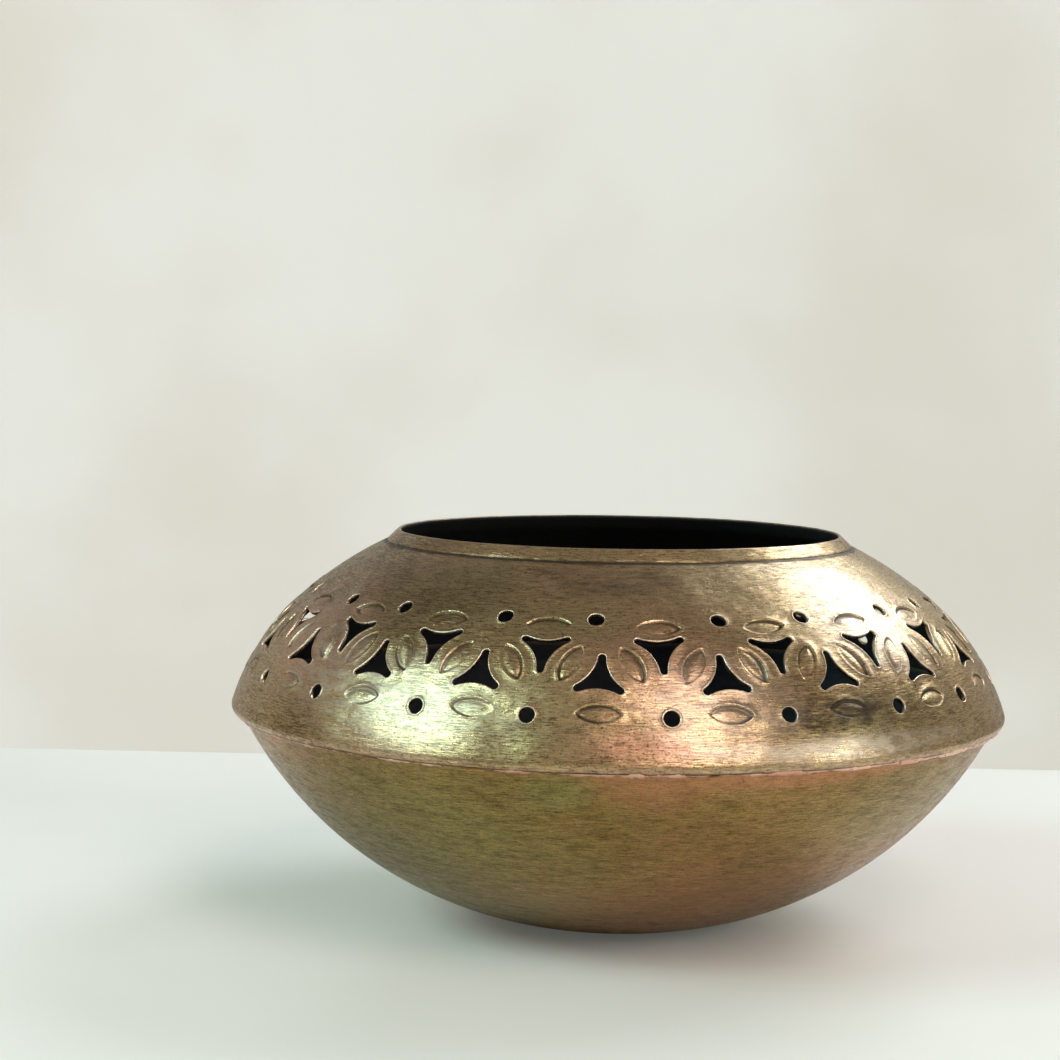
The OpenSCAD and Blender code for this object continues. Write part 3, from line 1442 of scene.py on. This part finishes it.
@dataclass
class LowerBowl:
    """The spun lower bowl with its upright rim."""

    vessel: Vessel
    rows: int = 72
    base_rows: int = 6
    flush_w: float = 1.5
    rim_rows: tuple[float, ...] = (0.25, 0.5, 0.75, 0.93)
    rim_round: float = 0.12

    def section(self) -> Section:
        """Draws the bowl.

        Returns:
            The half-section from the axis, up the outside, over the rim, to the axis inside.
        """
        v = self.vessel
        arc = v.bowl.arcs[0]
        ways = [arc.length * i / self.rows for i in range(self.rows + 1)]
        inner = [v.bowl.at(way)[0] - v.bowl.at(way)[1] * v.sheet for way in ways]
        base = [Vector((v.base_r * i / self.base_rows, 0.0)) for i in range(self.base_rows)]
        section = marked(base)
        for way in ways:
            near = max(0.0, 1 - (arc.length - way) / self.flush_w)
            # Just under the upper shell's rolled edge the bowl is darkened: painted shadow of the
            # edge; the copper share is braze flush.
            section += marked([v.bowl.at(way)[0]], copper=0.9 * near, sunk=max(0.0, near * 3 - 2.4))
        top = v.bend.y + v.rim_h
        rim = [v.bend + Vector((0.0, v.rim_h * share)) for share in self.rim_rows]
        # The rim inside the upper shell is darkened: painted shade between the shells.
        section += marked(rim[:3], sunk=1.0) + marked(rim[3:], inside=0.9)
        rim_top = [Vector((v.bend.x - self.rim_round, top)),
                   Vector((v.bend.x - v.sheet + self.rim_round, top))]
        # The rim's top is whitened a little: rubbed wear with painted highlight.
        section += marked(rim_top, inside=0.85, worn=0.12)
        rim_in = [Vector((v.bend.x - v.sheet, p.y)) for p in reversed(rim)]
        section += marked(rim_in[:1], inside=0.9) + marked(rim_in[1:], inside=1.0)
        section += marked(list(reversed(inner)), inside=1.0)
        return section + marked([p + Vector((0.0, v.sheet)) for p in reversed(base)], inside=1.0)

    def build(self, dress: Dress) -> bpy.types.Object:
        """Makes the bowl.

        Args:
            dress: What it is worked and coloured with.

        Returns:
            The piece.
        """
        sheet = Sheet("spun_lower_bowl")
        sheet.spun(self.section())
        piece = dress.finished(sheet)
        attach(piece, "vessel")
        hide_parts("lower_bowl")
        return piece


@dataclass
class BrazeSeam:
    """The uneven run of braze metal between the shells.

    Attributes:
        vessel: The vessel's sizes.
        bead_r: Radius of the bead, in millimetres.
        points: Points round the bead.
        steps: Faces round the axis.
        swell: How thick the bead is between its waves, in bead radii.
        thinnest: The least that it may be.
        thickest: The most that it may be.
        waves: How much each wave adds, and how many there are to the metre.
        runs: The turn, width in degrees and swelling of each place where metal gathered.
    """

    vessel: Vessel
    bead_r: float = 0.9
    points: int = 12
    steps: int = 900
    swell: float = 0.82
    thinnest: float = 0.35
    thickest: float = 1.14
    waves: tuple[tuple[float, float], ...] = ((0.5, 150.0), (0.3, 620.0), (0.2, 1500.0))
    runs: tuple[tuple[float, float, float], ...] = (
        (2.8, 0.9, 0.6), (46.0, 26.0, 0.3), (-30.0, 24.0, -0.25), (170.0, 30.0, 0.3)
    )

    def build(self, material: bpy.types.Material) -> bpy.types.Object:
        """Makes the seam.

        Args:
            material: Its finish.

        Returns:
            The piece.
        """
        v = self.vessel
        edge = v.outside.arcs[0]
        edge_end = edge.centre + (edge.radius - v.sheet) * polar(-v.edge_turn)
        centre = Vector(((v.bend.x + edge_end.x) / 2, edge_end.y - v.sheet / 2))
        sheet = Sheet("braze_run", self.steps)
        loop = [centre + polar(360 * i / self.points) * self.bead_r for i in range(self.points)]
        sheet.spun(marked(loop + loop[:1]))
        middle = centre.x * MM
        for vert in sheet.mesh.verts:
            flat = Vector((vert.co.x, vert.co.y, 0.0))
            heart = flat.normalized() * middle + Vector((0, 0, centre.y * MM))
            swell = self.swell
            for size, scale in self.waves:
                swell += size * noise.noise(vert.co * scale)
            turn = math.degrees(math.atan2(vert.co.x, -vert.co.y))
            swell += sum(size * math.exp(-((turn - at) / width) ** 2)
                         for at, width, size in self.runs)
            vert.co = heart + (vert.co - heart) * max(self.thinnest, min(self.thickest, swell))
        piece = sheet.finished(material)
        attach(piece, "vessel")
        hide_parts("braze_seam")
        return piece


@dataclass
class BurnerDish:
    """The loose dish on the bowl's floor."""

    lift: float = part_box("burner_dish")[0].z / MM
    outer_r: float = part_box("burner_dish")[1].x / MM
    height: float = (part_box("burner_dish")[1].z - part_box("burner_dish")[0].z) / MM
    floor_r: float = 15.0
    sheet: float = 1.0
    lip_r: float = 1.3
    lip_points: int = 14
    lip_start: float = -140.0
    lip_sweep: float = 290.0
    wall_rows: int = 10
    floor_rows: int = 6
    foot_edge: float = 0.5
    steps: int = 200

    def section(self) -> Section:
        """Draws the dish.

        Returns:
            The half-section from the axis, up the outside, round the lip, to the axis inside.
        """
        lip_c = Vector((self.outer_r - self.lip_r, self.lift + self.height - self.lip_r))
        foot = Vector((self.floor_r, self.lift))
        side = (lip_c - foot).normalized()
        wall = Vector((-side.y, side.x)) * self.sheet
        shares = [i / self.wall_rows for i in range(1, self.wall_rows)]
        rows = [Vector((self.floor_r * i / self.floor_rows, self.lift))
                for i in range(self.floor_rows)]
        outside = rows + [foot - Vector((self.foot_edge, 0.0)), foot + side * self.foot_edge]
        outside += [foot + (lip_c - foot) * share for share in shares]
        slope = math.degrees(math.atan2(side.y, side.x))
        start = slope + self.lip_start
        lip = [lip_c + polar(start + self.lip_sweep * i / self.lip_points) * self.lip_r
               for i in range(self.lip_points + 1)]
        inside = [foot + wall + (lip_c - foot) * share for share in reversed(shares)]
        floor = [p + Vector((0.0, self.sheet)) for p in reversed(rows)]
        return marked(outside + lip + inside + floor)

    def build(self, material: bpy.types.Material) -> bpy.types.Object:
        """Makes the dish.

        Args:
            material: Its finish.

        Returns:
            The piece.
        """
        sheet = Sheet("loose_burner_dish", self.steps)
        sheet.spun(self.section())
        piece = sheet.finished(material)
        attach(piece, "dish")
        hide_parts("burner_dish")
        return piece


# ---- Studio ----


@dataclass(frozen=True)
class Softbox:
    """A rectangular lamp that faces the vessel.

    Attributes:
        name: Its name.
        towards: Direction from the vessel to it.
        distance: How far away it stands, in metres.
        size: Its width and height in metres.
        glow: Its radiance.
        colour: Its colour.
    """

    name: str
    towards: tuple[float, float, float]
    distance: float
    size: tuple[float, float]
    glow: float
    colour: Colour

    def hang(self, aim: Vector) -> None:
        """Puts the lamp in the scene.

        Args:
            aim: The point that it faces.
        """
        lamp = bpy.data.lights.new(self.name, "AREA")
        lamp.shape = "RECTANGLE"
        lamp.size, lamp.size_y = self.size
        lamp.energy = self.glow * math.pi * self.size[0] * self.size[1]
        lamp.color = self.colour
        made = bpy.data.objects.new(self.name, lamp)
        way = Vector(self.towards).normalized()
        made.location = aim + way * self.distance
        made.rotation_euler = way.to_track_quat("Z", "Y").to_euler()
        bpy.context.scene.collection.objects.link(made)


@dataclass
class Studio:
    """Floor, backdrop, lamps and camera."""

    focal_px: float = 2385.3
    frame_px: float = 1060.0
    sensor: float = 36.0
    eye_back: float = 6.195
    eye_height: float = 1.4777
    tilt: float = 0.07647
    pan: float = -0.03743
    roll: float = 0.01487
    eye_near: float = 0.01
    table_back: float = 0.185
    table_half: float = 1.3
    table_thick: float = 0.03
    table_round: float = 0.014
    table_rows: int = 8
    room_r: float = 2.3
    room_corner: float = 0.3
    room_steps: int = 96
    room_rows: int = 8
    room_gap: float = 0.01 * MM
    room_low: float = -0.55
    room_high: float = 1.2
    zenith: Colour = (0.28, 0.27, 0.26)
    horizon: Colour = (0.84, 0.84, 0.81)
    horizon_top: float = 0.14
    zenith_foot: float = 0.55
    lamps: tuple[Softbox, ...] = (
        Softbox("window_left", (-0.73, -0.35, 0.57), 1.4, (0.74, 0.47), 9.6, (0.56, 0.90, 0.90)),
        Softbox("window_front", (0.32, -0.70, 0.62), 1.4, (0.50, 1.00), 5.4, (1.0, 0.92, 0.92)),
        Softbox("window_right", (0.86, -0.40, 0.32), 1.4, (0.45, 0.34), 5.0, (0.96, 0.98, 0.98)),
        Softbox("window_back", (0.54, 0.55, 0.66), 1.4, (0.90, 0.49), 7.2, (0.86, 0.93, 1.0)),
    )

    def build(self, vessel: Vessel) -> None:
        """Sets the studio up round the vessel.

        Args:
            vessel: The vessel's sizes.
        """
        self.place_camera(vessel)
        self.lay_table()
        self.wall_room()
        aim = Vector((0, 0, vessel.mouth_h / 2 * MM))
        for lamp in self.lamps:
            lamp.hang(aim)
        self.light_room()

    def light_room(self) -> None:
        """Makes the world's even light, darker overhead."""
        world = bpy.data.worlds.new("room")
        world.use_nodes = True
        nodes, links = world.node_tree.nodes, world.node_tree.links
        way = nodes.new("ShaderNodeTexCoord")
        parts = nodes.new("ShaderNodeSeparateXYZ")
        ramp = nodes.new("ShaderNodeValToRGB")
        Graph.set_ramp(ramp.color_ramp, (
            (0.0, self.horizon), (self.horizon_top, self.horizon), (self.zenith_foot, self.zenith)))
        links.new(way.outputs["Generated"], parts.inputs[0])
        links.new(parts.outputs["Z"], ramp.inputs["Fac"])
        links.new(ramp.outputs["Color"], nodes["Background"].inputs["Color"])
        bpy.context.scene.world = world
        bpy.context.scene.view_settings.view_transform = "Standard"

    def place_camera(self, vessel: Vessel) -> None:
        """Makes the camera, its place measured in belly radii.

        Args:
            vessel: The vessel's sizes.
        """
        lens = bpy.data.cameras.new("eye")
        lens.sensor_width = self.sensor
        lens.lens = self.focal_px / self.frame_px * self.sensor
        lens.clip_start = self.eye_near
        eye = bpy.data.objects.new("eye", lens)
        unit = vessel.belly_r * MM
        cp, sp = math.cos(self.tilt), math.sin(self.tilt)
        cy, sy = math.cos(self.pan), math.sin(self.pan)
        cr, sr = math.cos(self.roll), math.sin(self.roll)
        right, up = Vector((cy, -sy, 0)), Vector((sy * sp, cy * sp, cp))
        back = -Vector((sy * cp, cy * cp, -sp))
        axes = Matrix((right * cr + up * sr, up * cr - right * sr, back)).transposed()
        eye.matrix_world = Matrix.Translation((0, -self.eye_back * unit, self.eye_height * unit)) \
            @ axes.to_4x4()
        bpy.context.scene.collection.objects.link(eye)
        bpy.context.scene.camera = eye

    def lay_table(self) -> None:
        """Makes the table top."""
        table = bmesh.new()
        bmesh.ops.create_cube(table, size=1.0)
        front = -2 * self.table_half
        for vert in table.verts:
            vert.co.x *= 2 * self.table_half
            vert.co.y = self.table_back if vert.co.y > 0 else front
            vert.co.z = 0.0 if vert.co.z > 0 else -self.table_thick
        bmesh.ops.bevel(table, geom=table.edges[:], offset=self.table_round, offset_type="OFFSET",
                        segments=self.table_rows, profile=0.5, affect="EDGES", material=-1)
        self.staged(table, "table_top", StageFinish(
            "pale_stone", linear(244, 241, 234), linear(232, 229, 221), scale=4.0, roughness=0.3,
            haze=(0.07, 0.075, 0.07)))

    def wall_room(self) -> None:
        """Makes the room round the table."""
        room = bmesh.new()
        corner = self.room_corner
        section = [Vector((0.0, self.room_low)), Vector((self.room_r - corner, self.room_low))]
        for i in range(1, self.room_rows + 1):
            turn = -90 + 90 * i / self.room_rows
            section.append(Vector((self.room_r - corner, self.room_low + corner))
                           + corner * polar(turn))
        section.append(Vector((self.room_r, self.room_high)))
        verts = [room.verts.new((0.0, p.x, p.y)) for p in section]
        edges = [room.edges.new(pair) for pair in zip(verts, verts[1:])]
        bmesh.ops.spin(room, geom=verts + edges, cent=(0, 0, 0), axis=(0, 0, 1), dvec=(0, 0, 0),
                       angle=math.tau, steps=self.room_steps, use_merge=True, use_duplicate=False)
        bmesh.ops.remove_doubles(room, verts=room.verts, dist=self.room_gap)
        bmesh.ops.recalc_face_normals(room, faces=room.faces)
        self.staged(room, "plaster_room", StageFinish(
            "warm_plaster", linear(240, 238, 232), linear(222, 212, 200), scale=2.4, roughness=0.8,
            haze=(0.32, 0.325, 0.305)))

    def staged(self, mesh: bmesh.types.BMesh, name: str, finish: StageFinish) -> None:
        """Turns a mesh into an object of the stage.

        Args:
            mesh: The mesh, which is freed.
            name: The object's name.
            finish: Its finish.
        """
        for face in mesh.faces:
            face.smooth = abs(face.normal.z) < NEARLY_LEVEL
        data = bpy.data.meshes.new(name)
        mesh.to_mesh(data)
        mesh.free()
        made = bpy.data.objects.new(name, data)
        data.materials.append(finish.material())
        bpy.context.scene.collection.objects.link(made)


# ---- This burner ----


HANDWORK = Handwork((
    Dent(-15, 45.2, 4.5, 0.35), Dent(-26, 47.5, 5.0, 0.22), Dent(1, 46.6, 4.0, 0.22),
    Dent(17, 48.0, 4.5, 0.19), Dent(29, 48.5, 4.0, 0.27), Dent(42, 47.0, 5.0, 0.22),
    Dent(58, 50.0, 5.0, 0.22), Dent(-52, 48.0, 6.0, 0.24), Dent(-14, 69.0, 7.0, 0.19),
    Dent(20, 70.5, 6.0, 0.22), Dent(120, 50.0, 6.0, 0.27), Dent(-140, 56.0, 7.0, 0.27),
    Dent(175, 46.0, 5.0, 0.27), Dent(-95, 47.0, 6.0, 0.27),
))
SHELL_BRASS = BrassFinish("shell_brass", Slant.CLOSING)
BOWL_BRASS = BrassFinish(
    "bowl_brass", Slant.OPENING, bright=linear(176, 143, 88), tarnished=linear(80, 59, 30),
    copper=linear(194, 138, 98), green=linear(164, 154, 96), paint=linear(8, 9, 12),
    stroke_contrast=0.64, cloud_contrast=0.12, coat=0.0, dent_depth=0.12 * MM,
    mottle_depth=0.03 * MM, fleck=0.4,
)
BRAZE_METAL = RawMetal(
    "braze_metal", linear(206, 150, 126), linear(236, 196, 172), linear(70, 48, 38),
    clouds=(60, 3, 0.5), cloud_edges=(0.35, 0.65),
    grains=(700, 4, 0.6), grit_edges=(0.52, 0.72),
    grit_share=0.75, skin_depth=0.12 * MM, metallic=1.0, roughness=0.26,
    roughened_by=Texture.GRAINS,
)
BURNT_BRASS = RawMetal(
    "burnt_brass", linear(104, 88, 62), linear(62, 52, 44), linear(38, 34, 32),
    clouds=(70, 4, 0.6), cloud_edges=(0.3, 0.7),
    grains=(900, 4, 0.6), grit_edges=(0.55, 0.75),
    grit_share=0.5, skin_depth=0.05 * MM, metallic=0.9, roughness=0.42,
    roughened_by=Texture.CLOUDS,
)
SHELL_STAINS_AND_LIGHT = StainsAndLight.of({
    Mark.COPPER: (
        (-60, 62, 24, 12, 0.6), (8, 52, 16, 12, 0.4), (3, 44.5, 16, 4, 0.5),
        (55, 66, 16, 9, 0.5), (78, 54, 16, 14, 0.5), (-6, 60, 9, 5, 0.3),
        (-50, 54, 16, 11, 0.6), (165, 55, 40, 14, 0.5), (-120, 64, 30, 10, 0.5),
    ),
    # The patch at -30 degrees and 50 mm tints the left highlight green, a painted reflection
    # colour; the rest are olive tarnish.
    Mark.GREEN: (
        (-32, 68, 18, 8, 0.7), (-30, 50, 20, 9, 0.6), (38, 48, 24, 8, 0.85),
        (-10, 64, 14, 5, 0.5), (120, 60, 30, 12, 0.5), (-150, 50, 30, 10, 0.5),
    ),
    # These darken three patches: painted dark reflection, over tarnish.
    Mark.SUNK: (
        (0, 70, 26, 4, 0.35), (32, 49.5, 20, 5, 0.42), (-6, 47.5, 14, 4, 0.28),
    ),
    # These whiten the shell where the lamps' highlights fall: painted highlights, with rubbed wear
    # along the rolled edge.
    Mark.WORN: (
        (40, 41.2, 34, 1.0, 0.1), (-32, 50, 22, 10, 0.24), (14, 52, 14, 9, 0.2),
        (48, 63, 20, 10, 0.22), (34, 44.0, 28, 2.4, 0.42), (-130, 52, 24, 9, 0.2),
        (-56, 56, 16, 11, 0.2),
    ),
})
BOWL_PATINA = StainsAndLight.of({
    Mark.COPPER: (
        (5, 38, 12, 6, 0.8), (26, 40, 26, 3.5, 1.0), (4, 12, 50, 9, 0.5), (8, 27, 12, 8, 0.35),
        (-62, 38, 16, 6, 0.5), (140, 34, 40, 10, 0.6),
    ),
    Mark.GREEN: (
        (-32, 28, 30, 18, 0.9), (50, 30, 32, 14, 0.9), (-7, 36.5, 7, 5, 0.9),
        (-140, 26, 40, 14, 0.5),
    ),
})


def main() -> None:
    """Builds the burner and the studio."""
    logging.basicConfig(level=logging.INFO, format="%(name)s: %(message)s")
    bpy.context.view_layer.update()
    vessel = Vessel()
    pieces = (
        UpperShell(vessel).build(
            FlowerBand(vessel),
            Dress(HANDWORK, seed=3.1, stains_and_light=SHELL_STAINS_AND_LIGHT, material=SHELL_BRASS.material())),
        LowerBowl(vessel).build(
            Dress(HANDWORK, seed=7.7, stains_and_light=BOWL_PATINA, material=BOWL_BRASS.material())),
        BrazeSeam(vessel).build(BRAZE_METAL.material()),
        BurnerDish().build(BURNT_BRASS.material()),
    )
    for piece in pieces:
        LOG.info("%s: %d faces", piece.name, len(piece.data.polygons))
    Studio().build(vessel)


if __name__ == "__main__":
    main()
